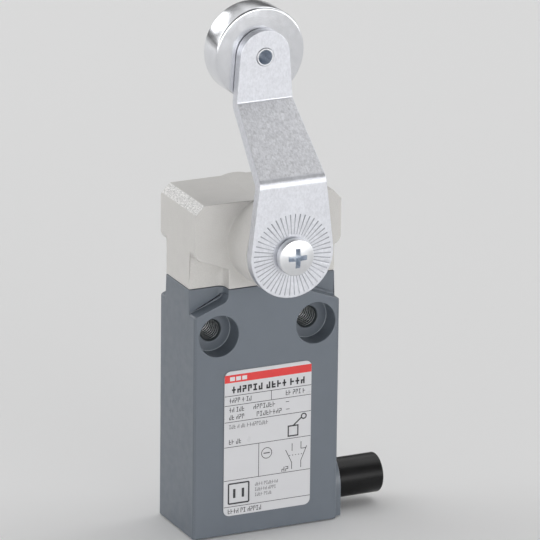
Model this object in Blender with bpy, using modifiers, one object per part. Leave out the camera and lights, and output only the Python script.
"""Pre-wired limit switch with a roller lever, as an assembly of separate parts.

Units are metres and +Z is up. The origin is on the rear mounting face, midway between
the two fixing holes. +X is the side that the cable leaves, and the front faces -Y.
"""
import math

import bmesh
import bpy
from mathutils import Matrix, Vector

# ---------------------------------------------------------------- driving dimensions
# Clearances
FACE_GAP = 0.0002          # between faces that rest on each other
JOINT_GAP = 0.0001         # between the casing and the head
RUN_GAP = 0.0001           # radial, between a shaft and its bearing
SLIDE_GAP = 0.0003         # around pieces that slide or pass freely

# Casing
BODY_WIDTH = 0.030
BODY_DEPTH = 0.016
BODY_HEIGHT = 0.049
FIXING_HEIGHT = 0.040      # fixing holes above the bottom
FIXING_SPACING = 0.020
FIXING_HOLE_R = 0.0022
COUNTERBORE_R = 0.00405
COUNTERBORE_DEPTH = 0.004
CORNER_R = 0.0006
WALL = 0.0018              # front and rear walls of the casing
SIDE_WALL = 0.0026
ROOF_DROP = 0.0075         # cavity roof below the fixing holes
CAVITY_CORNER_R = 0.0008

# Corner pockets, shared by the casing and the head
POCKET_X = 0.0081          # inner wall, from the middle
POCKET_DEPTH = 0.0027
POCKET_CORNER_R = 0.0012
POCKET_DROP = 0.0022       # floor below the joint at the inner wall
POCKET_RISE = 0.0039       # ceiling above the joint at the inner wall
POCKET_FALL_SLOPE = 0.38   # fall of the floor per unit of width
POCKET_RISE_SLOPE = 0.40   # rise of the ceiling per unit of width
POCKET_FLOOR_R = 0.0015    # where the inner wall meets the floor
POCKET_CEILING_R = 0.0005  # where the inner wall meets the ceiling
POCKET_MOUTH_R = 0.0020    # where the ceiling turns up to the side face
POCKET_NOSE_R = 0.0007     # where the floor turns down to the side face
POCKET_SKIN = 0.00002      # how far those turns end outside the side face

# Head
HEAD_HEIGHT = 0.017
HEAD_CHAMFER = 0.0019
SHAFT_RISE = 0.009         # shaft axis above the joint
HUB_R = 0.0084
HUB_LENGTH = 0.0081        # in front of the head
HUB_CHAMFER = 0.0004
HEAD_CAVITY_R = 0.0062
HEAD_REAR_WALL = 0.0055
HEAD_FRONT_WALL = 0.0024

# Shaft and what it carries
SHAFT_R = 0.0030
REAR_JOURNAL_R = 0.0025
REAR_JOURNAL_END = 0.0020  # in front of the mounting face
FLANGE_R = 0.0060
FLANGE_THICKNESS = 0.0018
BUSH_WALL = 0.0014
SEAL_MINOR_R = 0.00065
RING_WIDTH = 0.0006
RING_R = 0.0043
RING_GROOVE = 0.0005       # depth of its groove in the shaft
RING_MOUTH = 80            # degrees of the ring that are open, at the bottom
CAM_R = 0.0054
CAM_FLAT = 0.0030          # flat below the shaft axis
CAM_WIDTH = 0.0038
CAM_PIN_R = 0.0005
CAM_PIN_LENGTH = 0.0090
DOG_R = 0.00028
DOG_RADIUS = 0.00492       # from the shaft axis
DOG_LENGTH = 0.0021        # in front of the cam
STOP_PIN_RADIUS = 0.00562
STOP_PIN_SEAT = 0.0006     # depth in the head
TWIST_COIL_R = 0.0040
TWIST_WIRE_R = 0.00025
TWIST_TURNS = 3
TWIST_LEG_REACH = 0.00580
TWIST_LEG_ANGLE = math.radians(10)

# Lever
SHEET = 0.0020
LEVER_LENGTH = 0.0346      # shaft axis to roller axis
LEVER_OFFSET = 0.0128      # how far the top stands behind the bottom
LOWER_BEND = 0.0143        # above the shaft axis, on the front surface
UPPER_BEND = 0.02624
LEVER_END_R = 0.0084
LEVER_TOP_R = 0.0051
LOWER_HALF_WIDTH = 0.00675
UPPER_HALF_WIDTH = 0.0057
BEND_R = 0.0006            # inside radius
SCREW_R = 0.0020
SCREW_HEAD_R = 0.00355
SCREW_HEAD_SIDE = 0.00105
SCREW_DOME = 0.0007
SCREW_LENGTH = 0.0115
SCREW_TIP = 0.0004         # chamfer at the end
RECESS_SPAN = 0.0040
RECESS_WIDTH = 0.0009
RECESS_DEPTH = 0.0012
WASHER_R = 0.0033
WASHER_THICKNESS = 0.0006

# Roller
ROLLER_R = 0.0090
ROLLER_WIDTH = 0.0058
ROLLER_CHAMFER = 0.0004
ROLLER_GAP = 0.0002        # behind the lever
ROLLER_BUSH_R = 0.0030
RIVET_R = 0.0017
RIVET_BORE_R = 0.00138
RIVET_HEAD_R = 0.0034
RIVET_HEAD = 0.0008
RIVET_PROUD = 0.0001
RIVET_EDGE = 0.0002        # rounding of its flared end

# Plunger and its seals
ROD_R = 0.0019
GUIDE_R = 0.0033
GUIDE_LENGTH = 0.0068
ROD_SEAL_LENGTH = 0.0024
ROD_SEAL_LIP = 0.0004      # how far the lip stands in
PLUNGER_TRAVEL = 0.0024

# Contact block
BLOCK_HALF_WIDTH = 0.0118
BLOCK_TOP_DROP = 0.0030    # below the cavity roof, which clears the head screws
BLOCK_HEIGHT = 0.0165
BLOCK_WALL = 0.0010
STEM_R = 0.0022
CARRIER_HALF_WIDTH = 0.0024
CARRIER_HALF_DEPTH = 0.0030
CARRIER_DROP = 0.0017      # top of the carrier below the block's roof
CARRIER_LINTEL = 0.0014    # above its window
CARRIER_SILL = 0.0016      # below its window
WINDOW_HEIGHT = 0.0043
BRIDGE_HALF_LENGTH = 0.0074
BRIDGE_HALF_DEPTH = 0.0013
BRIDGE_DROP = 0.0013       # below the top of the window
STRIP = 0.0005             # thickness of the contact strips
TAIL_X = 0.0089
TAIL_DEPTH = 0.0024        # width of a contact tail, front to back
TAIL_LENGTH = 0.0020       # below the block
TAIL_GAP = 0.0005          # between a tail and the bridge's side
BUTTON_R = 0.0009
BUTTON_X = 0.0062
BUTTON = 0.0003            # height of a contact button
CONTACT_GAP = 0.0001
TAB_MARGIN = 0.0003        # of strip around a button
TAB_LAP = 0.0001           # how far a tab passes its tail's sides
BRIDGE_SHARE = 0.6         # bridge travel for each unit of plunger travel
BRIDGE_COIL_R = 0.0011
BRIDGE_WIRE_R = 0.0002
RETURN_COIL_R = 0.0017
RETURN_WIRE_R = 0.0003

# Head screws and gasket
HEAD_SCREW_X = 0.0052
HEAD_SCREW_BACK = 0.0042   # in front of the mounting face
HEAD_SCREW_R = 0.00125
HEAD_SCREW_HEAD_R = 0.00225
HEAD_SCREW_HEAD = 0.0017
HEAD_SCREW_BITE = 0.0034
SOCKET_R = 0.0011
SOCKET_DEPTH = 0.0010
GASKET_HALF_WIDTH = 0.0072
GASKET_MARGIN = 0.0016
GASKET_CORNER_R = 0.0020
GASKET = 0.0006

# Bottom cover, label and cable
COVER_INSET = 0.0003
COVER = 0.0012
LABEL_WIDTH = 0.0180
LABEL_HEIGHT = 0.0289
LABEL_BOTTOM = 0.0039      # above the casing's bottom
LABEL_SHIFT = 0.00014
LABEL_CORNER_R = 0.0012
LABEL = 0.00015
LABEL_GAP = 0.00005
CABLE_R = 0.00385
CABLE_CORE_R = 0.00085
CABLE_CORE_RING = 0.0016
CABLE_INNER_R = 0.0028
CORE_BEND = 0.0020         # height in which a core turns up to its tail
CORE_SWING = 0.0040        # how far a core to the near side swings back inward
CORE_ENTRY = 0.0005        # how far the cores run straight inside the casing
CABLE_HEIGHT = 0.0050      # cable axis above the bottom
CABLE_REACH = 0.0107       # beyond the pad
CABLE_EDGE_R = 0.0003
PAD = 0.0013
PAD_HALF_WIDTH = 0.0070
PAD_HEIGHT = 0.0055        # centre of the pad's round top above the bottom
SEAL_BORE_R = 0.0046
SEAL_COVER = 0.0006        # metal above the cable seal
CABLE_BOSS_X = 0.0095      # inner face of the wall that holds the cable seal
TAG_THICKNESS = 0.0006
TAG_WIDTH = 0.0040
TAG_HEIGHT = 0.0050
TAG_DROP = 0.0010          # below the cable's axis

# ---------------------------------------------------------------- derived places
MIDDLE_Y = -BODY_DEPTH / 2
BOTTOM = -FIXING_HEIGHT
JOINT = BOTTOM + BODY_HEIGHT
SHAFT_Z = JOINT + SHAFT_RISE
HEAD_TOP = JOINT + HEAD_HEIGHT
HUB_FRONT = BODY_DEPTH + HUB_LENGTH              # distances in front of the rear face
LEVER_BACK = HUB_FRONT + SLIDE_GAP
LEVER_FRONT = LEVER_BACK + SHEET
LEVER_TOP_FRONT = LEVER_FRONT - LEVER_OFFSET
LEVER_TOP_BACK = LEVER_TOP_FRONT - SHEET
ROLLER_Z = SHAFT_Z + LEVER_LENGTH
ROLLER_FRONT = LEVER_TOP_BACK - ROLLER_GAP
ROLLER_BACK = ROLLER_FRONT - ROLLER_WIDTH
ROOF = -ROOF_DROP
BLOCK_TOP = ROOF - BLOCK_TOP_DROP
BLOCK_BOTTOM = BLOCK_TOP - BLOCK_HEIGHT
CABLE_Z = BOTTOM + CABLE_HEIGHT
PAD_X = BODY_WIDTH / 2 + PAD
CABLE_END = PAD_X + CABLE_REACH
CAVITY_X = BODY_WIDTH / 2 - SIDE_WALL
CAVITY_FRONT = BODY_DEPTH - WALL
BOSS_TOP = CABLE_Z + SEAL_BORE_R + SEAL_COVER
CAVITY_END = BODY_DEPTH - HEAD_FRONT_WALL
ROD_TOP = SHAFT_Z - CAM_R - SLIDE_GAP
ROD_BOTTOM = BLOCK_TOP + JOINT_GAP
THROUGH = 0.001            # how far a cutter passes the face it opens


# ---------------------------------------------------------------- scene and materials
for old in list(bpy.data.objects):
    bpy.data.objects.remove(old, do_unlink=True)

PARTS = bpy.data.collections.new("limit_switch")
CUTTERS = bpy.data.collections.new("cutters")
for collection in (PARTS, CUTTERS):
    bpy.context.scene.collection.children.link(collection)


def material(name, colour, roughness, metallic=0.0):
    made = bpy.data.materials.new(name)
    made.use_nodes = True
    shader = made.node_tree.nodes["Principled BSDF"]
    shader.inputs["Base Color"].default_value = (*colour, 1.0)
    shader.inputs["Roughness"].default_value = roughness
    shader.inputs["Metallic"].default_value = metallic
    return made


PAINT = material("casing_paint", (0.18, 0.20, 0.22), 0.5)
CASTING = material("head_casting", (0.52, 0.51, 0.49), 0.55)
ZINC = material("zinc_plate", (0.72, 0.74, 0.78), 0.28, 1.0)
STEEL = material("bright_steel", (0.66, 0.67, 0.70), 0.25, 1.0)
SPRING_STEEL = material("spring_steel", (0.45, 0.45, 0.47), 0.3, 1.0)
BRONZE = material("bearing_bronze", (0.60, 0.38, 0.18), 0.4, 1.0)
BRASS = material("contact_brass", (0.75, 0.58, 0.25), 0.3, 1.0)
RUBBER = material("black_rubber", (0.02, 0.02, 0.02), 0.7)
JACKET = material("cable_jacket", (0.015, 0.015, 0.015), 0.45)
LABEL_FILM = material("label_film", (0.62, 0.62, 0.64), 0.4)
MOULDING = material("block_moulding", (0.05, 0.05, 0.055), 0.5)
CARRIER_PLASTIC = material("carrier_plastic", (0.75, 0.10, 0.08), 0.45)
COVER_PLASTIC = material("cover_plastic", (0.10, 0.10, 0.11), 0.5)
CORE_COLOURS = {
    "brown": material("core_brown", (0.12, 0.05, 0.02), 0.4),
    "blue": material("core_blue", (0.02, 0.08, 0.35), 0.4),
    "black": material("core_black", (0.02, 0.02, 0.02), 0.4),
    "grey": material("core_grey", (0.35, 0.35, 0.36), 0.4),
    "earth": material("core_earth", (0.25, 0.45, 0.05), 0.4),
}


# ---------------------------------------------------------------- modelling helpers
# Rotations that turn an object's own Z axis to point to the front, or to +X.
TO_FRONT = Matrix.Rotation(math.pi / 2, 4, "X")
TO_SIDE = Matrix(((0, 0, 1, 0), (1, 0, 0, 0), (0, 1, 0, 0), (0, 0, 0, 1)))
UPRIGHT = Matrix.Identity(4)


def link(obj, finish=None):
    """Puts an object among the parts, or among the cutters when it has no finish."""
    if finish is None:
        CUTTERS.objects.link(obj)
        obj.hide_render = True
        obj.display_type = "WIRE"
    else:
        PARTS.objects.link(obj)
        obj.data.materials.append(finish)
    return obj


def smooth(mesh, angle=35):
    mesh.shade_smooth()
    mesh.set_sharp_from_angle(angle=math.radians(angle))


def box(name, low, high, finish=None, rounded=0.0, along=None):
    """A box between two corners. Edges along one axis, or all edges, may be rounded."""
    size = Vector(high) - Vector(low)
    middle = (Vector(high) + Vector(low)) / 2
    shape = bmesh.new()
    bmesh.ops.create_cube(shape, size=1.0, matrix=Matrix.Translation(middle) @ Matrix.Diagonal((*size, 1.0)))
    if rounded:
        edges = shape.edges[:]
        if along is not None:
            edges = [e for e in edges if abs((e.verts[0].co - e.verts[1].co)["XYZ".index(along)]) > 1e-6]
        bmesh.ops.bevel(shape, geom=edges, offset=rounded, segments=3, profile=0.5, affect="EDGES")
    mesh = bpy.data.meshes.new(name)
    shape.to_mesh(mesh)
    shape.free()
    return link(bpy.data.objects.new(name, mesh), finish)


def turned(name, profile, facing, place, finish=None, steps=40):
    """Spins a profile of (radius, height) points about the axis that facing gives.

    The profile runs down its outer side. A ring's profile is closed by its own first point.
    """
    shape = bmesh.new()
    points = [shape.verts.new((radius, 0.0, height)) for radius, height in profile]
    for first, second in zip(points, points[1:]):
        shape.edges.new((first, second))
    if all(radius > 0 for radius, _ in profile):
        shape.edges.new((points[-1], points[0]))
    mesh = bpy.data.meshes.new(name)
    shape.to_mesh(mesh)
    shape.free()
    obj = link(bpy.data.objects.new(name, mesh), finish)
    spin = obj.modifiers.new("spin", "SCREW")
    spin.steps = steps
    spin.render_steps = steps
    spin.use_merge_vertices = True
    spin.merge_threshold = 0.000001
    spin.use_smooth_shade = True
    obj.matrix_world = Matrix.Translation(place) @ facing
    return obj


def cylinder(name, radius, low, high, facing, place, finish=None, steps=32):
    return turned(name, [(0, high), (radius, high), (radius, low), (0, low)], facing, place, finish, steps)


def tube(name, inner, outer, low, high, facing, place, finish=None, steps=32):
    profile = [(inner, high), (outer, high), (outer, low), (inner, low)]
    return turned(name, profile, facing, place, finish, steps)


def plate(name, outlines, low, high, facing, place, finish=None):
    """A flat outline, with the holes that further outlines give, between two heights."""
    curve = bpy.data.curves.new(name, "CURVE")
    curve.dimensions = "2D"
    curve.fill_mode = "BOTH"
    curve.extrude = (high - low) / 2
    for outline in outlines:
        spline = curve.splines.new("POLY")
        spline.points.add(len(outline) - 1)
        for point, (across, up) in zip(spline.points, outline):
            point.co = (across, up, 0.0, 1.0)
        spline.use_cyclic_u = True
    guide = bpy.data.objects.new(name + "_outline", curve)
    bpy.context.scene.collection.objects.link(guide)
    turn = Matrix.Translation(place) @ facing @ Matrix.Translation((0, 0, (low + high) / 2))
    return mesh_of_curve(guide, name, turn, finish)


def mesh_of_curve(guide, name, turn, finish):
    """Replaces a curve object by a welded mesh object with the given world matrix."""
    bpy.context.view_layer.update()
    graph = bpy.context.evaluated_depsgraph_get()
    mesh = bpy.data.meshes.new_from_object(guide.evaluated_get(graph))
    mesh.name = name
    shape = bmesh.new()
    shape.from_mesh(mesh)
    bmesh.ops.remove_doubles(shape, verts=shape.verts, dist=0.000001)
    bmesh.ops.recalc_face_normals(shape, faces=shape.faces)
    shape.transform(turn)
    shape.to_mesh(mesh)
    shape.free()
    bpy.data.objects.remove(guide, do_unlink=True)
    mesh.materials.clear()
    smooth(mesh)
    return link(bpy.data.objects.new(name, mesh), finish)


def wire(name, points, radius, finish):
    """A round wire along points, with closed ends."""
    curve = bpy.data.curves.new(name, "CURVE")
    curve.dimensions = "3D"
    curve.bevel_depth = radius
    curve.bevel_resolution = 2
    curve.use_fill_caps = True
    spline = curve.splines.new("POLY")
    spline.points.add(len(points) - 1)
    for point, place in zip(spline.points, points):
        point.co = (*place, 1.0)
    guide = bpy.data.objects.new(name + "_path", curve)
    bpy.context.scene.collection.objects.link(guide)
    return mesh_of_curve(guide, name, Matrix.Identity(4), finish)


def arc(centre, radius, start, end, steps):
    """Points on an arc between two angles, in degrees."""
    angles = [math.radians(start + (end - start) * i / steps) for i in range(steps + 1)]
    return [(centre[0] + radius * math.cos(a), centre[1] + radius * math.sin(a)) for a in angles]


def rounded_outline(corners, steps=5):
    """The outline through corners (across, up, radius), each rounded by its own radius."""
    outline = []
    for i, (x, y, radius) in enumerate(corners):
        here = Vector((x, y))
        if not radius:
            outline.append((x, y))
            continue
        back = (Vector(corners[i - 1][:2]) - here).normalized()
        ahead = (Vector(corners[(i + 1) % len(corners)][:2]) - here).normalized()
        half = back.angle(ahead) / 2
        centre = here + (back + ahead).normalized() * radius / math.sin(half)
        first = here + back * radius / math.tan(half) - centre
        turn = back.angle_signed(ahead)
        sweep = (math.pi - 2 * half) * (1 if turn > 0 else -1)
        for step in range(steps + 1):
            outline.append(tuple(centre + Matrix.Rotation(sweep * step / steps, 2) @ first))
    return outline


def boolean(obj, other, operation):
    change = obj.modifiers.new(other.name, "BOOLEAN")
    change.operation = operation
    change.object = other
    change.solver = "EXACT"


def cut(obj, *others):
    for other in others:
        boolean(obj, other, "DIFFERENCE")
    return obj


def join(obj, *others):
    for other in others:
        boolean(obj, other, "UNION")
    return obj


def axis_empty(name, place):
    empty = bpy.data.objects.new(name, None)
    empty.location = place
    PARTS.objects.link(empty)
    return empty


def hang_on(empty, *objects):
    """Parents objects to the empty on their joint's axis, leaving them where they are."""
    bpy.context.view_layer.update()
    for obj in objects:
        obj.parent = empty
        obj.matrix_parent_inverse = empty.matrix_world.inverted()


def at_front(x, z):
    """A place from which heights count forward from the rear face."""
    return (x, 0.0, z)


# ---------------------------------------------------------------- corner pockets
def pocket_outline():
    """The outline of one side's pocket, seen from the front, from its inner wall outward.

    The ceiling sweeps up until it runs into the side face, and the floor rounds over to it.
    """
    outer = BODY_WIDTH / 2 + POCKET_SKIN
    width = outer - POCKET_X
    floor = JOINT - POCKET_DROP
    ceiling = JOINT + POCKET_RISE
    ceiling_end = ceiling + POCKET_RISE_SLOPE * width
    floor_end = floor - POCKET_FALL_SLOPE * width
    high = ceiling_end + THROUGH
    low = floor_end - THROUGH
    return rounded_outline([
        (POCKET_X, floor, POCKET_FLOOR_R),
        (POCKET_X, ceiling, POCKET_CEILING_R),
        (outer, ceiling_end, POCKET_MOUTH_R),
        (outer, high, 0.0),
        (outer + THROUGH, high, 0.0),
        (outer + THROUGH, low, 0.0),
        (outer, low, 0.0),
        (outer, floor_end, POCKET_NOSE_R),
    ])


def pocket_cutters(owner):
    """Four pockets: left and right, front and rear."""
    cutters = []
    for side in (-1, 1):
        outline = [(side * across, up) for across, up in pocket_outline()]
        for label, low, high in (
            ("front", BODY_DEPTH - POCKET_DEPTH, BODY_DEPTH + THROUGH),
            ("rear", -THROUGH, POCKET_DEPTH),
        ):
            name = f"cut_{owner}_pocket_{label}_{'right' if side > 0 else 'left'}"
            cutter = plate(name, [outline], low, high, TO_FRONT, at_front(0, 0))
            round_inner_corner(cutter, side, label)
            cutters.append(cutter)
    return cutters


def round_inner_corner(cutter, side, label):
    """Rounds the upright edge between a pocket's inner wall and its back."""
    depth = -(BODY_DEPTH - POCKET_DEPTH) if label == "front" else -POCKET_DEPTH
    shape = bmesh.new()
    shape.from_mesh(cutter.data)
    edges = [
        e for e in shape.edges
        if all(abs(v.co.x - side * POCKET_X) < 1e-6 and abs(v.co.y - depth) < 1e-6 for v in e.verts)
    ]
    bmesh.ops.bevel(shape, geom=edges, offset=POCKET_CORNER_R, segments=4, profile=0.5, affect="EDGES")
    shape.to_mesh(cutter.data)
    shape.free()


# ---------------------------------------------------------------- casing
def body_casing():
    half = BODY_WIDTH / 2
    casing = box(
        "body_casing", (-half, -BODY_DEPTH, BOTTOM), (half, 0, JOINT - JOINT_GAP / 2), PAINT, CORNER_R, "Z"
    )
    base = MIDDLE_Y - PAD_HALF_WIDTH, BOTTOM
    top = arc((MIDDLE_Y, BOTTOM + PAD_HEIGHT), PAD_HALF_WIDTH, 0, 180, 16)
    pad_outline = [base, (MIDDLE_Y + PAD_HALF_WIDTH, BOTTOM), *top]
    pad = plate("pad", [pad_outline], half - SIDE_WALL / 2, PAD_X, TO_SIDE, (0, 0, 0))
    join(casing, pad)
    cut(casing, *pocket_cutters("casing"))
    cavity_outline = rounded_outline([
        (-CAVITY_X, ROOF, CAVITY_CORNER_R),
        (CAVITY_X, ROOF, CAVITY_CORNER_R),
        (CAVITY_X, BOSS_TOP, CAVITY_CORNER_R),
        (CABLE_BOSS_X, BOSS_TOP, 0.0),
        (CABLE_BOSS_X, BOTTOM - THROUGH, 0.0),
        (-CAVITY_X, BOTTOM - THROUGH, 0.0),
    ])
    cavity = plate("cut_cavity", [cavity_outline], WALL, CAVITY_FRONT, TO_FRONT, at_front(0, 0))
    seal_floor = JOINT - 2 * FACE_GAP - GUIDE_LENGTH - ROD_SEAL_LENGTH - FACE_GAP
    rod_passage = turned("cut_rod_passage", [
        (0, JOINT + THROUGH),
        (GUIDE_R + RUN_GAP, JOINT + THROUGH),
        (GUIDE_R + RUN_GAP, seal_floor),
        (ROD_R + SLIDE_GAP, seal_floor),
        (ROD_R + SLIDE_GAP, ROOF - THROUGH),
        (0, ROOF - THROUGH),
    ], UPRIGHT, (0, MIDDLE_Y, 0), steps=32)
    cable_way = turned("cut_cable_way", [
        (0, PAD_X + THROUGH),
        (CABLE_R + FACE_GAP, PAD_X + THROUGH),
        (CABLE_R + FACE_GAP, CAVITY_X + FACE_GAP),
        (SEAL_BORE_R, CAVITY_X + FACE_GAP),
        (SEAL_BORE_R, CABLE_BOSS_X - THROUGH),
        (0, CABLE_BOSS_X - THROUGH),
    ], TO_SIDE, (0, MIDDLE_Y, CABLE_Z), steps=32)
    cut(casing, cavity, rod_passage, cable_way)
    for side in (-1, 1):
        fixing = turned(f"cut_fixing_{side}", [
            (0, BODY_DEPTH + THROUGH),
            (COUNTERBORE_R, BODY_DEPTH + THROUGH),
            (COUNTERBORE_R, BODY_DEPTH - COUNTERBORE_DEPTH),
            (FIXING_HOLE_R, BODY_DEPTH - COUNTERBORE_DEPTH),
            (FIXING_HOLE_R, -THROUGH),
            (0, -THROUGH),
        ], TO_FRONT, at_front(side * FIXING_SPACING / 2, 0), steps=36)
        screw_way = cylinder(
            f"cut_screw_way_{side}", HEAD_SCREW_R + FACE_GAP, ROOF - THROUGH, JOINT + THROUGH,
            UPRIGHT, (side * HEAD_SCREW_X, -HEAD_SCREW_BACK, 0), steps=16,
        )
        cut(casing, fixing, screw_way)
    return casing


def bottom_cover():
    low = BOTTOM + COVER_INSET
    return box(
        "bottom_cover",
        (-CAVITY_X + FACE_GAP, -CAVITY_FRONT + FACE_GAP, low),
        (CABLE_BOSS_X - FACE_GAP, -WALL - FACE_GAP, low + COVER),
        COVER_PLASTIC,
    )


def rating_label():
    left = LABEL_SHIFT - LABEL_WIDTH / 2
    bottom = BOTTOM + LABEL_BOTTOM
    outline = rounded_outline([
        (left, bottom, LABEL_CORNER_R),
        (left + LABEL_WIDTH, bottom, LABEL_CORNER_R),
        (left + LABEL_WIDTH, bottom + LABEL_HEIGHT, LABEL_CORNER_R),
        (left, bottom + LABEL_HEIGHT, LABEL_CORNER_R),
    ])
    back = BODY_DEPTH + LABEL_GAP
    return plate("rating_label", [outline], back, back + LABEL, TO_FRONT, at_front(0, 0), LABEL_FILM)


# ---------------------------------------------------------------- head
def head_housing():
    half = BODY_WIDTH / 2
    low = JOINT + JOINT_GAP / 2
    shoulder = HEAD_TOP - HEAD_CHAMFER
    outline = [
        (-half, low), (half, low), (half, shoulder), (half - HEAD_CHAMFER, HEAD_TOP),
        (HEAD_CHAMFER - half, HEAD_TOP), (-half, shoulder),
    ]
    head = plate("head_housing", [outline], 0, BODY_DEPTH, TO_FRONT, at_front(0, 0), CASTING)
    hub = turned("hub", [
        (0, HUB_FRONT),
        (HUB_R - HUB_CHAMFER, HUB_FRONT),
        (HUB_R, HUB_FRONT - HUB_CHAMFER),
        (HUB_R, 0),
        (0, 0),
    ], TO_FRONT, at_front(0, SHAFT_Z), steps=56)
    join(head, hub)
    cut(head, *pocket_cutters("head"))
    bore = SHAFT_R + RUN_GAP + BUSH_WALL + RUN_GAP
    recess = HUB_FRONT - FLANGE_THICKNESS
    way = turned("cut_shaft_way", [
        (0, HUB_FRONT + THROUGH),
        (FLANGE_R + SLIDE_GAP, HUB_FRONT + THROUGH),
        (FLANGE_R + SLIDE_GAP, recess - FACE_GAP),
        (bore, recess - FACE_GAP),
        (bore, CAVITY_END),
        (HEAD_CAVITY_R, CAVITY_END),
        (HEAD_CAVITY_R, HEAD_REAR_WALL),
        (REAR_JOURNAL_R + RUN_GAP, HEAD_REAR_WALL),
        (REAR_JOURNAL_R + RUN_GAP, REAR_JOURNAL_END - SLIDE_GAP),
        (0, REAR_JOURNAL_END - SLIDE_GAP),
    ], TO_FRONT, at_front(0, SHAFT_Z), steps=48)
    rod_hole = cylinder(
        "cut_rod_hole", ROD_R + SLIDE_GAP, JOINT - THROUGH, SHAFT_Z - CAM_R, UPRIGHT, (0, MIDDLE_Y, 0), steps=32
    )
    gasket_seat = plate(
        "cut_gasket_seat", [gasket_outline(FACE_GAP)], JOINT - THROUGH, low + GASKET + FACE_GAP / 2,
        UPRIGHT, (0, 0, 0),
    )
    stop_hole = cylinder(
        "cut_stop_hole", DOG_R + RUN_GAP / 2,
        CAVITY_END - STOP_PIN_SEAT, CAVITY_END + STOP_PIN_SEAT + FACE_GAP,
        TO_FRONT, at_front(0, SHAFT_Z + STOP_PIN_RADIUS), steps=12,
    )
    cut(head, way, rod_hole, gasket_seat, stop_hole)
    for side in (-1, 1):
        thread = cylinder(
            f"cut_head_thread_{side}", HEAD_SCREW_R + RUN_GAP, JOINT - THROUGH,
            JOINT + HEAD_SCREW_BITE + SLIDE_GAP, UPRIGHT, (side * HEAD_SCREW_X, -HEAD_SCREW_BACK, 0), steps=16,
        )
        cut(head, thread)
    return head


def gasket_outline(grow):
    half = GASKET_HALF_WIDTH + grow
    front = -BODY_DEPTH + GASKET_MARGIN - grow
    back = -GASKET_MARGIN + grow
    return rounded_outline([
        (-half, front, GASKET_CORNER_R), (half, front, GASKET_CORNER_R),
        (half, back, GASKET_CORNER_R), (-half, back, GASKET_CORNER_R),
    ])


def head_gasket():
    holes = [arc((0, MIDDLE_Y), ROD_R + SLIDE_GAP + FACE_GAP, 0, 345, 23)]
    for side in (-1, 1):
        holes.append(arc((side * HEAD_SCREW_X, -HEAD_SCREW_BACK), HEAD_SCREW_R + FACE_GAP, 0, 337.5, 15))
    low = JOINT + JOINT_GAP / 2
    return plate("head_gasket", [gasket_outline(0), *holes], low, low + GASKET, UPRIGHT, (0, 0, 0), RUBBER)


def head_screw(name, side):
    """A socket-head screw driven up from the casing's cavity into the head."""
    seat = ROOF - FACE_GAP
    screw = turned(name, [
        (0, JOINT + HEAD_SCREW_BITE),
        (HEAD_SCREW_R, JOINT + HEAD_SCREW_BITE),
        (HEAD_SCREW_R, seat),
        (HEAD_SCREW_HEAD_R, seat),
        (HEAD_SCREW_HEAD_R, seat - HEAD_SCREW_HEAD),
        (0, seat - HEAD_SCREW_HEAD),
    ], UPRIGHT, (side * HEAD_SCREW_X, -HEAD_SCREW_BACK, 0), STEEL, steps=20)
    socket = cylinder(
        f"cut_{name}_socket", SOCKET_R, -THROUGH, SOCKET_DEPTH, UPRIGHT,
        (side * HEAD_SCREW_X, -HEAD_SCREW_BACK, seat - HEAD_SCREW_HEAD), steps=6,
    )
    return cut(screw, socket)


# ---------------------------------------------------------------- shaft group
CAM_BACK = -MIDDLE_Y - CAM_WIDTH / 2
CAM_FRONT = -MIDDLE_Y + CAM_WIDTH / 2
RING_BACK = CAVITY_END - RING_WIDTH - RUN_GAP


def shaft():
    collar = HUB_FRONT - FLANGE_THICKNESS
    front = LEVER_BACK - RUN_GAP
    tip = LEVER_FRONT + FACE_GAP + WASHER_THICKNESS - SCREW_LENGTH
    groove = SHAFT_R - RING_GROOVE
    made = turned("shaft", [
        (0, tip - SLIDE_GAP),
        (SCREW_R + RUN_GAP, tip - SLIDE_GAP),
        (SCREW_R + RUN_GAP, front),
        (FLANGE_R, front),
        (FLANGE_R, collar),
        (SHAFT_R, collar),
        (SHAFT_R, CAVITY_END),
        (groove, CAVITY_END),
        (groove, RING_BACK - RUN_GAP),
        (SHAFT_R, RING_BACK - RUN_GAP),
        (SHAFT_R, HEAD_REAR_WALL + SLIDE_GAP),
        (REAR_JOURNAL_R, HEAD_REAR_WALL + SLIDE_GAP),
        (REAR_JOURNAL_R, REAR_JOURNAL_END),
        (0, REAR_JOURNAL_END),
    ], TO_FRONT, at_front(0, SHAFT_Z), STEEL, steps=32)
    return cut(made, pin_hole("cut_shaft_pin"))


def pin_hole(name):
    reach = CAM_R + THROUGH
    return cylinder(name, CAM_PIN_R + RUN_GAP / 2, -reach, reach, TO_SIDE, (0, MIDDLE_Y, SHAFT_Z), steps=12)


def shaft_bush():
    front = HUB_FRONT - FLANGE_THICKNESS - 2 * SEAL_MINOR_R - 3 * FACE_GAP
    inner = SHAFT_R + RUN_GAP
    return tube(
        "shaft_bush", inner, inner + BUSH_WALL, CAVITY_END + FACE_GAP, front,
        TO_FRONT, at_front(0, SHAFT_Z), BRONZE,
    )


def shaft_seal():
    """A rubber ring between the shaft and the hub's bore, behind the shaft's flange."""
    ring = SHAFT_R + RUN_GAP / 2 + (BUSH_WALL + RUN_GAP) / 2
    height = HUB_FRONT - FLANGE_THICKNESS - SEAL_MINOR_R - 2 * FACE_GAP
    profile = [(ring + across, height - up) for across, up in arc((0, 0), SEAL_MINOR_R, 0, 330, 11)]
    return turned("shaft_seal", profile, TO_FRONT, at_front(0, SHAFT_Z), RUBBER, steps=32)


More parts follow.
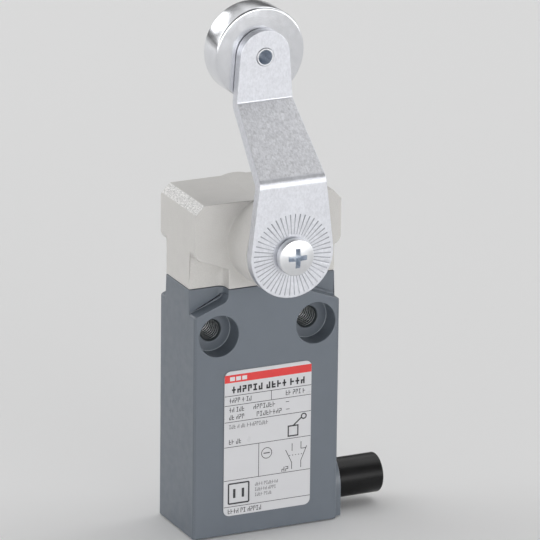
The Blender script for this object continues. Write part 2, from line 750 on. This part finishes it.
def shaft_retaining_ring():
    inner = SHAFT_R - RING_GROOVE + RUN_GAP
    right = RING_MOUTH / 2 - 90
    left = 270 - RING_MOUTH / 2
    outline = arc((0, 0), RING_R, right, left, 28) + arc((0, 0), inner, left, right, 28)
    return plate(
        "shaft_retaining_ring", [outline], RING_BACK, RING_BACK + RING_WIDTH,
        TO_FRONT, at_front(0, SHAFT_Z), SPRING_STEEL,
    )


def trip_cam():
    """A disc with a flat below. A dog at its top turns the return spring's legs."""
    half_flat = math.degrees(math.acos(CAM_FLAT / CAM_R))
    outline = arc((0, 0), CAM_R, -90 + half_flat, 270 - half_flat, 36)
    bore = arc((0, 0), SHAFT_R + RUN_GAP, 0, 345, 23)
    cam = plate("trip_cam", [outline, bore], CAM_BACK, CAM_FRONT, TO_FRONT, at_front(0, SHAFT_Z), ZINC)
    dog = cylinder(
        "dog", DOG_R, CAM_FRONT - DOG_R, CAM_FRONT + DOG_LENGTH,
        TO_FRONT, at_front(0, SHAFT_Z + DOG_RADIUS), steps=12,
    )
    join(cam, dog)
    return cut(cam, pin_hole("cut_cam_pin"))


def cam_pin():
    half = CAM_PIN_LENGTH / 2
    return cylinder("cam_pin", CAM_PIN_R, -half, half, TO_SIDE, (0, MIDDLE_Y, SHAFT_Z), STEEL, steps=12)


def spring_stop_pin():
    return cylinder(
        "spring_stop_pin", DOG_R, CAM_FRONT + FACE_GAP, CAVITY_END + STOP_PIN_SEAT,
        TO_FRONT, at_front(0, SHAFT_Z + STOP_PIN_RADIUS), STEEL, steps=12,
    )


def lever_return_spring():
    """A twist spring round the shaft. Its two legs stand either side of the dog and the stop pin."""
    front = RING_BACK - FACE_GAP - TWIST_WIRE_R
    back = CAM_FRONT + FACE_GAP + TWIST_WIRE_R
    turns = TWIST_TURNS - 2 * TWIST_LEG_ANGLE / (2 * math.pi)
    start = math.pi / 2 - TWIST_LEG_ANGLE
    steps = 16 * TWIST_TURNS

    def on_coil(radius, share):
        angle = start - 2 * math.pi * turns * share
        return (radius * math.cos(angle), -(front + (back - front) * share), SHAFT_Z + radius * math.sin(angle))

    coil = [on_coil(TWIST_COIL_R, i / steps) for i in range(steps + 1)]
    points = [on_coil(TWIST_LEG_REACH, 0), *coil, on_coil(TWIST_LEG_REACH, 1)]
    return wire("lever_return_spring", points, TWIST_WIRE_R, SPRING_STEEL)


# ---------------------------------------------------------------- lever
def tangent_angle(across, up, radius):
    """Angle of the point where a line from (across, up) touches a circle at the origin."""
    reach = math.hypot(across, up)
    return math.degrees(math.atan2(up, across)), math.degrees(math.acos(radius / reach))


def lever_outline():
    """The lever seen from the front: round ends joined by sides that narrow upward."""
    lower = (LOWER_HALF_WIDTH, LOWER_BEND)
    upper = (UPPER_HALF_WIDTH, UPPER_BEND - LEVER_LENGTH)
    towards, off = tangent_angle(*lower, LEVER_END_R)
    first = towards - off
    towards, off = tangent_angle(*upper, LEVER_TOP_R)
    last = towards + off
    bottom = arc((0, 0), LEVER_END_R, 180 - first, 360 + first, 32)
    top = arc((0, LEVER_LENGTH), LEVER_TOP_R, last, 180 - last, 24)
    right = [lower, (UPPER_HALF_WIDTH, UPPER_BEND)]
    left = [(-across, up) for across, up in reversed(right)]
    return bottom + right + top + left


def sheet_profile():
    """The bent sheet seen from the side, as (place across Y, height above the shaft)."""
    low = -LEVER_END_R - THROUGH
    high = LEVER_LENGTH + LEVER_TOP_R + THROUGH
    slant = Vector((LEVER_OFFSET, UPPER_BEND - LOWER_BEND)).normalized()
    behind = Vector((slant.y, -slant.x))
    straight = Vector((1.0, 0.0))
    shift = (straight + behind) * SHEET / (1 + straight.dot(behind))
    lower = Vector((-LEVER_FRONT, LOWER_BEND))
    upper = Vector((-LEVER_TOP_FRONT, UPPER_BEND))
    outside = BEND_R + SHEET
    return rounded_outline([
        (-LEVER_FRONT, low, 0), (-LEVER_BACK, low, 0),
        (*(lower + shift), BEND_R), (*(upper + shift), outside),
        (-LEVER_TOP_BACK, high, 0), (-LEVER_TOP_FRONT, high, 0),
        (*upper, BEND_R), (*lower, outside),
    ])


def lever_arm():
    reach = LEVER_END_R + THROUGH
    arm = plate("lever_arm", [sheet_profile()], -reach, reach, TO_SIDE, (0, 0, SHAFT_Z), ZINC)
    face = plate(
        "lever_face", [lever_outline()], LEVER_TOP_BACK - THROUGH, LEVER_FRONT + THROUGH,
        TO_FRONT, at_front(0, SHAFT_Z),
    )
    boolean(arm, face, "INTERSECT")
    screw_hole = cylinder(
        "cut_lever_screw", SCREW_R + FACE_GAP, LEVER_BACK - THROUGH, LEVER_FRONT + THROUGH,
        TO_FRONT, at_front(0, SHAFT_Z), steps=24,
    )
    rivet_hole = cylinder(
        "cut_lever_rivet", RIVET_R + RUN_GAP / 2, LEVER_TOP_BACK - THROUGH, LEVER_TOP_FRONT + THROUGH,
        TO_FRONT, at_front(0, ROLLER_Z), steps=24,
    )
    return cut(arm, screw_hole, rivet_hole)


def lever_screw():
    """A pan-head screw with a cross recess, through the lever into the shaft."""
    seat = LEVER_FRONT + 2 * RUN_GAP + WASHER_THICKNESS
    rim = seat + SCREW_HEAD_SIDE
    tip = LEVER_FRONT + FACE_GAP + WASHER_THICKNESS - SCREW_LENGTH
    dome = [
        (SCREW_HEAD_R * math.sin(math.radians(a)), rim + SCREW_DOME * math.cos(math.radians(a)))
        for a in range(0, 91, 15)
    ]
    screw = turned("lever_screw", [
        *dome, (SCREW_HEAD_R, seat), (SCREW_R, seat),
        (SCREW_R, tip + SCREW_TIP), (SCREW_R - SCREW_TIP, tip), (0, tip),
    ], TO_FRONT, at_front(0, SHAFT_Z), STEEL, steps=32)
    floor = rim + SCREW_DOME - RECESS_DEPTH
    for name, wide, tall in (("across", RECESS_SPAN, RECESS_WIDTH), ("upright", RECESS_WIDTH, RECESS_SPAN)):
        slot = box(
            f"cut_recess_{name}",
            (-wide / 2, -rim - SCREW_DOME - THROUGH, SHAFT_Z - tall / 2),
            (wide / 2, -floor, SHAFT_Z + tall / 2),
        )
        cut(screw, slot)
    return screw


def lever_lock_washer():
    low = LEVER_FRONT + RUN_GAP
    return tube(
        "lever_lock_washer", SCREW_R + FACE_GAP, WASHER_R, low, low + WASHER_THICKNESS,
        TO_FRONT, at_front(0, SHAFT_Z), SPRING_STEEL,
    )


# ---------------------------------------------------------------- roller
def roller():
    bore = ROLLER_BUSH_R + RUN_GAP / 2
    edge = ROLLER_R - ROLLER_CHAMFER
    return turned("roller", [
        (bore, ROLLER_FRONT),
        (edge, ROLLER_FRONT),
        (ROLLER_R, ROLLER_FRONT - ROLLER_CHAMFER),
        (ROLLER_R, ROLLER_BACK + ROLLER_CHAMFER),
        (edge, ROLLER_BACK),
        (bore, ROLLER_BACK),
    ], TO_FRONT, at_front(0, ROLLER_Z), STEEL, steps=64)


def roller_bush():
    inner = RIVET_R + RUN_GAP
    return tube(
        "roller_bush", inner, ROLLER_BUSH_R, ROLLER_BACK - RUN_GAP, ROLLER_FRONT + FACE_GAP,
        TO_FRONT, at_front(0, ROLLER_Z), BRONZE, steps=28,
    )


def roller_rivet():
    """A hollow rivet, headed behind the roller and flared flush with the lever's face."""
    front = LEVER_TOP_FRONT + RIVET_PROUD
    neck = ROLLER_BACK - RUN_GAP - FACE_GAP
    return turned("roller_rivet", [
        (RIVET_BORE_R, front),
        (RIVET_R - RIVET_EDGE, front),
        (RIVET_R, front - RIVET_EDGE),
        (RIVET_R, neck),
        (RIVET_HEAD_R, neck),
        (RIVET_HEAD_R, neck - RIVET_HEAD / 2),
        (RIVET_HEAD_R - RIVET_HEAD / 2, neck - RIVET_HEAD),
        (RIVET_BORE_R, neck - RIVET_HEAD),
    ], TO_FRONT, at_front(0, ROLLER_Z), STEEL, steps=28)


# ---------------------------------------------------------------- plunger
def push_rod():
    dome = [
        (ROD_R * math.sin(math.radians(a)), ROD_TOP - ROD_R / 2 * (1 - math.cos(math.radians(a))))
        for a in range(0, 91, 15)
    ]
    profile = [*dome, (ROD_R, ROD_BOTTOM), (0, ROD_BOTTOM)]
    return turned("push_rod", profile, UPRIGHT, (0, MIDDLE_Y, 0), STEEL, steps=24)


def push_rod_guide():
    high = JOINT - 2 * FACE_GAP
    return tube(
        "push_rod_guide", ROD_R + RUN_GAP, GUIDE_R, high - GUIDE_LENGTH, high, UPRIGHT, (0, MIDDLE_Y, 0), BRONZE
    )


def push_rod_seal():
    high = JOINT - 3 * FACE_GAP - GUIDE_LENGTH
    low = high - ROD_SEAL_LENGTH + FACE_GAP
    lip = ROD_R + RUN_GAP
    middle = (low + high) / 2
    return turned("push_rod_seal", [
        (lip + ROD_SEAL_LIP, high),
        (GUIDE_R, high),
        (GUIDE_R, low),
        (lip + ROD_SEAL_LIP, low),
        (lip, middle),
    ], UPRIGHT, (0, MIDDLE_Y, 0), RUBBER, steps=24)


# ---------------------------------------------------------------- contact block
BLOCK_FRONT = CAVITY_FRONT - FACE_GAP - BLOCK_WALL - FACE_GAP
BLOCK_BACK = WALL + 2 * FACE_GAP
CARRIER_TOP = BLOCK_TOP - BLOCK_WALL - CARRIER_DROP
WINDOW_TOP = CARRIER_TOP - CARRIER_LINTEL
WINDOW_FLOOR = WINDOW_TOP - WINDOW_HEIGHT
CARRIER_BOTTOM = WINDOW_FLOOR - CARRIER_SILL
BRIDGE_TOP = WINDOW_TOP - BRIDGE_DROP
BRIDGE_BOTTOM = BRIDGE_TOP - STRIP
BRIDGE_TRAVEL = BRIDGE_SHARE * PLUNGER_TRAVEL
NC_TAB = BRIDGE_TOP + BUTTON / 2 + CONTACT_GAP + BUTTON            # underside
NO_BUTTON_TOP = BRIDGE_BOTTOM - BRIDGE_TRAVEL - BUTTON / 2 - CONTACT_GAP
NO_TAB = NO_BUTTON_TOP - BUTTON - STRIP                            # underside
TAIL_BACK = -MIDDLE_Y - BRIDGE_HALF_DEPTH - TAIL_GAP - TAIL_DEPTH
TAIL_FRONT = -MIDDLE_Y + BRIDGE_HALF_DEPTH + TAIL_GAP + TAIL_DEPTH


def contact_block_base():
    base = box(
        "contact_block_base", (-BLOCK_HALF_WIDTH, -BLOCK_FRONT, BLOCK_BOTTOM),
        (BLOCK_HALF_WIDTH, -BLOCK_BACK, BLOCK_TOP), MOULDING,
    )
    inside = BLOCK_HALF_WIDTH - BLOCK_WALL
    hollow = box(
        "cut_block", (-inside, -BLOCK_FRONT - THROUGH, BLOCK_BOTTOM + BLOCK_WALL),
        (inside, -BLOCK_BACK - BLOCK_WALL, BLOCK_TOP - BLOCK_WALL),
    )
    stem_hole = cylinder(
        "cut_stem", STEM_R + SLIDE_GAP, BLOCK_TOP - BLOCK_WALL - THROUGH, BLOCK_TOP + THROUGH,
        UPRIGHT, (0, MIDDLE_Y, 0), steps=24,
    )
    cut(base, hollow, stem_hole)
    for side in (-1, 1):
        for name, near, far in (
            ("nc", TAIL_BACK - SLIDE_GAP, TAIL_BACK + TAIL_DEPTH + SLIDE_GAP),
            ("no", TAIL_FRONT - TAIL_DEPTH - SLIDE_GAP, BLOCK_FRONT + THROUGH),
        ):
            room = STRIP / 2 + SLIDE_GAP
            across = sorted((side * (TAIL_X - room), side * (TAIL_X + room)))
            slot = box(
                f"cut_tail_{name}_{side}", (across[0], -far, BLOCK_BOTTOM - THROUGH),
                (across[1], -near, BLOCK_BOTTOM + BLOCK_WALL + THROUGH),
            )
            cut(base, slot)
    return base


def contact_block_cover():
    low = BLOCK_FRONT + FACE_GAP
    return box(
        "contact_block_cover", (-BLOCK_HALF_WIDTH, -low - BLOCK_WALL, BLOCK_BOTTOM),
        (BLOCK_HALF_WIDTH, -low, BLOCK_TOP), MOULDING,
    )


def contact_carrier():
    """The insulating slide: a stem that the push rod presses, and a window for the bridge."""
    front = MIDDLE_Y - CARRIER_HALF_DEPTH
    back = MIDDLE_Y + CARRIER_HALF_DEPTH
    carrier = box(
        "contact_carrier", (-CARRIER_HALF_WIDTH, front, CARRIER_BOTTOM), (CARRIER_HALF_WIDTH, back, CARRIER_TOP),
        CARRIER_PLASTIC,
    )
    stem = cylinder(
        "stem", STEM_R, CARRIER_TOP - BLOCK_WALL / 2, ROD_BOTTOM - FACE_GAP, UPRIGHT, (0, MIDDLE_Y, 0), steps=24
    )
    join(carrier, stem)
    half = BRIDGE_HALF_DEPTH + 2 * FACE_GAP
    window = box(
        "cut_window", (-CARRIER_HALF_WIDTH - THROUGH, MIDDLE_Y - half, WINDOW_FLOOR),
        (CARRIER_HALF_WIDTH + THROUGH, MIDDLE_Y + half, WINDOW_TOP),
    )
    return cut(carrier, window)


def contact_bridge():
    bridge = box(
        "contact_bridge", (-BRIDGE_HALF_LENGTH, MIDDLE_Y - BRIDGE_HALF_DEPTH, BRIDGE_BOTTOM),
        (BRIDGE_HALF_LENGTH, MIDDLE_Y + BRIDGE_HALF_DEPTH, BRIDGE_TOP), BRASS,
    )
    for side in (-1, 1):
        button = cylinder(
            f"bridge_button_{side}", BUTTON_R, BRIDGE_BOTTOM - BUTTON / 2, BRIDGE_TOP + BUTTON / 2,
            UPRIGHT, (side * BUTTON_X, MIDDLE_Y, 0), steps=16,
        )
        join(bridge, button)
    return bridge


def fixed_contact(name, side, tab, near_far, tail, button_low, button_high):
    """A strip with a tab over or under the bridge, a contact button and a tail for its core.

    The tab and the tail each run between two distances in front of the rear face.
    """
    def span(first, second):
        return sorted((side * first, side * second))

    near, far = near_far
    tail_near, tail_far = tail
    tail_x = span(TAIL_X - STRIP / 2, TAIL_X + STRIP / 2)
    tab_x = span(BUTTON_X - BUTTON_R - TAB_MARGIN, TAIL_X + STRIP / 2 + TAB_LAP)
    contact = box(
        name, (tail_x[0], -tail_far, BLOCK_BOTTOM - TAIL_LENGTH),
        (tail_x[1], -tail_near, tab + STRIP / 2), BRASS,
    )
    arm = box(f"{name}_tab", (tab_x[0], -far - TAB_LAP, tab), (tab_x[1], TAB_LAP - near, tab + STRIP))
    button = cylinder(
        f"{name}_button", BUTTON_R, button_low, button_high, UPRIGHT, (side * BUTTON_X, MIDDLE_Y, 0), steps=16
    )
    return join(contact, arm, button)


def fixed_contacts():
    across = -MIDDLE_Y - BRIDGE_HALF_DEPTH, -MIDDLE_Y + BRIDGE_HALF_DEPTH
    made = []
    for side, word in ((-1, "left"), (1, "right")):
        made.append(fixed_contact(
            f"nc_contact_{word}", side, NC_TAB, (TAIL_BACK, across[1]),
            (TAIL_BACK, TAIL_BACK + TAIL_DEPTH), NC_TAB - BUTTON, NC_TAB + STRIP / 2,
        ))
        made.append(fixed_contact(
            f"no_contact_{word}", side, NO_TAB, (across[0], TAIL_FRONT),
            (TAIL_FRONT - TAIL_DEPTH, TAIL_FRONT), NO_TAB + STRIP / 2, NO_TAB + STRIP + BUTTON,
        ))
    return made


def coil_spring(name, coil_r, wire_r, low, high, turns):
    """A compression spring between two heights, on the plunger's axis."""
    steps = 12 * turns
    bottom = low + wire_r
    rise = high - low - 2 * wire_r
    points = []
    for i in range(steps + 1):
        angle = 2 * math.pi * turns * i / steps
        across = coil_r * math.cos(angle)
        back = MIDDLE_Y + coil_r * math.sin(angle)
        points.append((across, back, bottom + rise * i / steps))
    return wire(name, points, wire_r, SPRING_STEEL)


def bridge_spring():
    low = WINDOW_FLOOR + RUN_GAP
    return coil_spring("bridge_spring", BRIDGE_COIL_R, BRIDGE_WIRE_R, low, BRIDGE_BOTTOM - FACE_GAP, 4)


def carrier_return_spring():
    low = BLOCK_BOTTOM + BLOCK_WALL + RUN_GAP
    return coil_spring(
        "carrier_return_spring", RETURN_COIL_R, RETURN_WIRE_R, low, CARRIER_BOTTOM - RUN_GAP, 5
    )


# ---------------------------------------------------------------- cable
def cable_jacket():
    return turned("cable_jacket", [
        (CABLE_INNER_R, CABLE_END),
        (CABLE_R - CABLE_EDGE_R, CABLE_END),
        (CABLE_R, CABLE_END - CABLE_EDGE_R),
        (CABLE_R, CABLE_BOSS_X),
        (CABLE_INNER_R, CABLE_BOSS_X),
    ], TO_SIDE, (0, MIDDLE_Y, CABLE_Z), JACKET, steps=36)


def cable_seal():
    low = CABLE_BOSS_X + FACE_GAP
    return tube(
        "cable_seal", CABLE_R + RUN_GAP, SEAL_BORE_R - RUN_GAP, low, CAVITY_X,
        TO_SIDE, (0, MIDDLE_Y, CABLE_Z), RUBBER,
    )


def smooth_path(knots, steps=4):
    """Points on a smooth curve through knots."""
    ends = [knots[0] * 2 - knots[1], *knots, knots[-1] * 2 - knots[-2]]
    points = []
    for a, b, c, d in zip(ends, ends[1:], ends[2:], ends[3:]):
        slope = c - a
        bend = 2 * a - 5 * b + 4 * c - d
        twist = 3 * b - a - 3 * c + d
        for step in range(steps):
            t = step / steps
            points.append(b + (slope * t + bend * t ** 2 + twist * t ** 3) / 2)
    return [*points, knots[-1]]


def cable_cores():
    """Five insulated cores: two pairs to the contact tails, and one to the earth tag."""
    solder = BLOCK_BOTTOM - TAIL_LENGTH - FACE_GAP
    back = -(TAIL_BACK + TAIL_DEPTH / 2)
    front = -(TAIL_FRONT - TAIL_DEPTH / 2)
    floor = BOTTOM + COVER_INSET + COVER + CABLE_CORE_R + FACE_GAP
    ends = {
        "earth": (90, "wall", MIDDLE_Y),
        "blue": (162, "right", front),
        "brown": (18, "right", back),
        "black": (234, "left", front),
        "grey": (306, "left", back),
    }
    made = []
    for colour, (angle, goes, depth) in ends.items():
        turn = math.radians(angle)
        y = MIDDLE_Y + CABLE_CORE_RING * math.cos(turn)
        z = CABLE_Z + CABLE_CORE_RING * math.sin(turn)
        aside = depth - y
        start = [Vector((CABLE_END - JOINT_GAP, y, z)), Vector((CABLE_BOSS_X - CORE_ENTRY, y, z))]
        if goes == "wall":
            end_x = -CAVITY_X + 2 * FACE_GAP + TAG_THICKNESS + FACE_GAP
            route = [Vector((0.0, y, z)), Vector((end_x, y, z))]
        elif goes == "left":
            low = max(z, floor)
            route = [
                Vector((TAIL_X / 3, y + aside * 0.3, low)), Vector((-TAIL_X / 2, y + aside * 0.8, low)),
                Vector((CORE_BEND * 0.75 - TAIL_X, depth, low + CORE_BEND)),
                Vector((-TAIL_X, depth, solder - CORE_BEND)), Vector((-TAIL_X, depth, solder)),
            ]
        else:
            inward = TAIL_X - CORE_SWING
            route = [
                Vector((inward + CORE_BEND / 2, y + aside * 0.4, z)),
                Vector((inward, depth, z + CORE_BEND * 0.7)),
                Vector((inward + CORE_BEND * 0.6, depth, solder - CORE_BEND * 0.85)),
                Vector((TAIL_X - CORE_BEND / 2, depth, solder - CORE_BEND * 0.45)),
                Vector((TAIL_X - CORE_BEND / 5, depth, solder)),
            ]
        path = smooth_path(start + route)
        made.append(wire(f"cable_core_{colour}", path, CABLE_CORE_R, CORE_COLOURS[colour]))
    return made


def earth_tag():
    low_x = -CAVITY_X + 2 * FACE_GAP
    return box(
        "earth_tag", (low_x, MIDDLE_Y - TAG_WIDTH / 2, CABLE_Z - TAG_DROP),
        (low_x + TAG_THICKNESS, MIDDLE_Y + TAG_WIDTH / 2, CABLE_Z - TAG_DROP + TAG_HEIGHT), BRASS,
    )


# ---------------------------------------------------------------- assembly
body_casing()
bottom_cover()
rating_label()
head_housing()
head_gasket()
head_screw("head_screw_left", -1)
head_screw("head_screw_right", 1)
shaft_bush()
shaft_seal()
spring_stop_pin()
push_rod_guide()
push_rod_seal()
contact_block_base()
contact_block_cover()
fixed_contacts()
earth_tag()
cable_jacket()
cable_seal()
cable_cores()

hang_on(
    axis_empty("lever_axis", (0, -LEVER_BACK, SHAFT_Z)),
    shaft(), shaft_retaining_ring(), trip_cam(), cam_pin(), lever_arm(), lever_screw(), lever_lock_washer(),
    roller_rivet(), lever_return_spring(),
)
hang_on(axis_empty("roller_axis", (0, -ROLLER_FRONT, ROLLER_Z)), roller(), roller_bush())
hang_on(
    axis_empty("plunger_axis", (0, MIDDLE_Y, ROD_TOP)),
    push_rod(), contact_carrier(), bridge_spring(), carrier_return_spring(),
)
hang_on(axis_empty("bridge_axis", (0, MIDDLE_Y, BRIDGE_TOP)), contact_bridge())
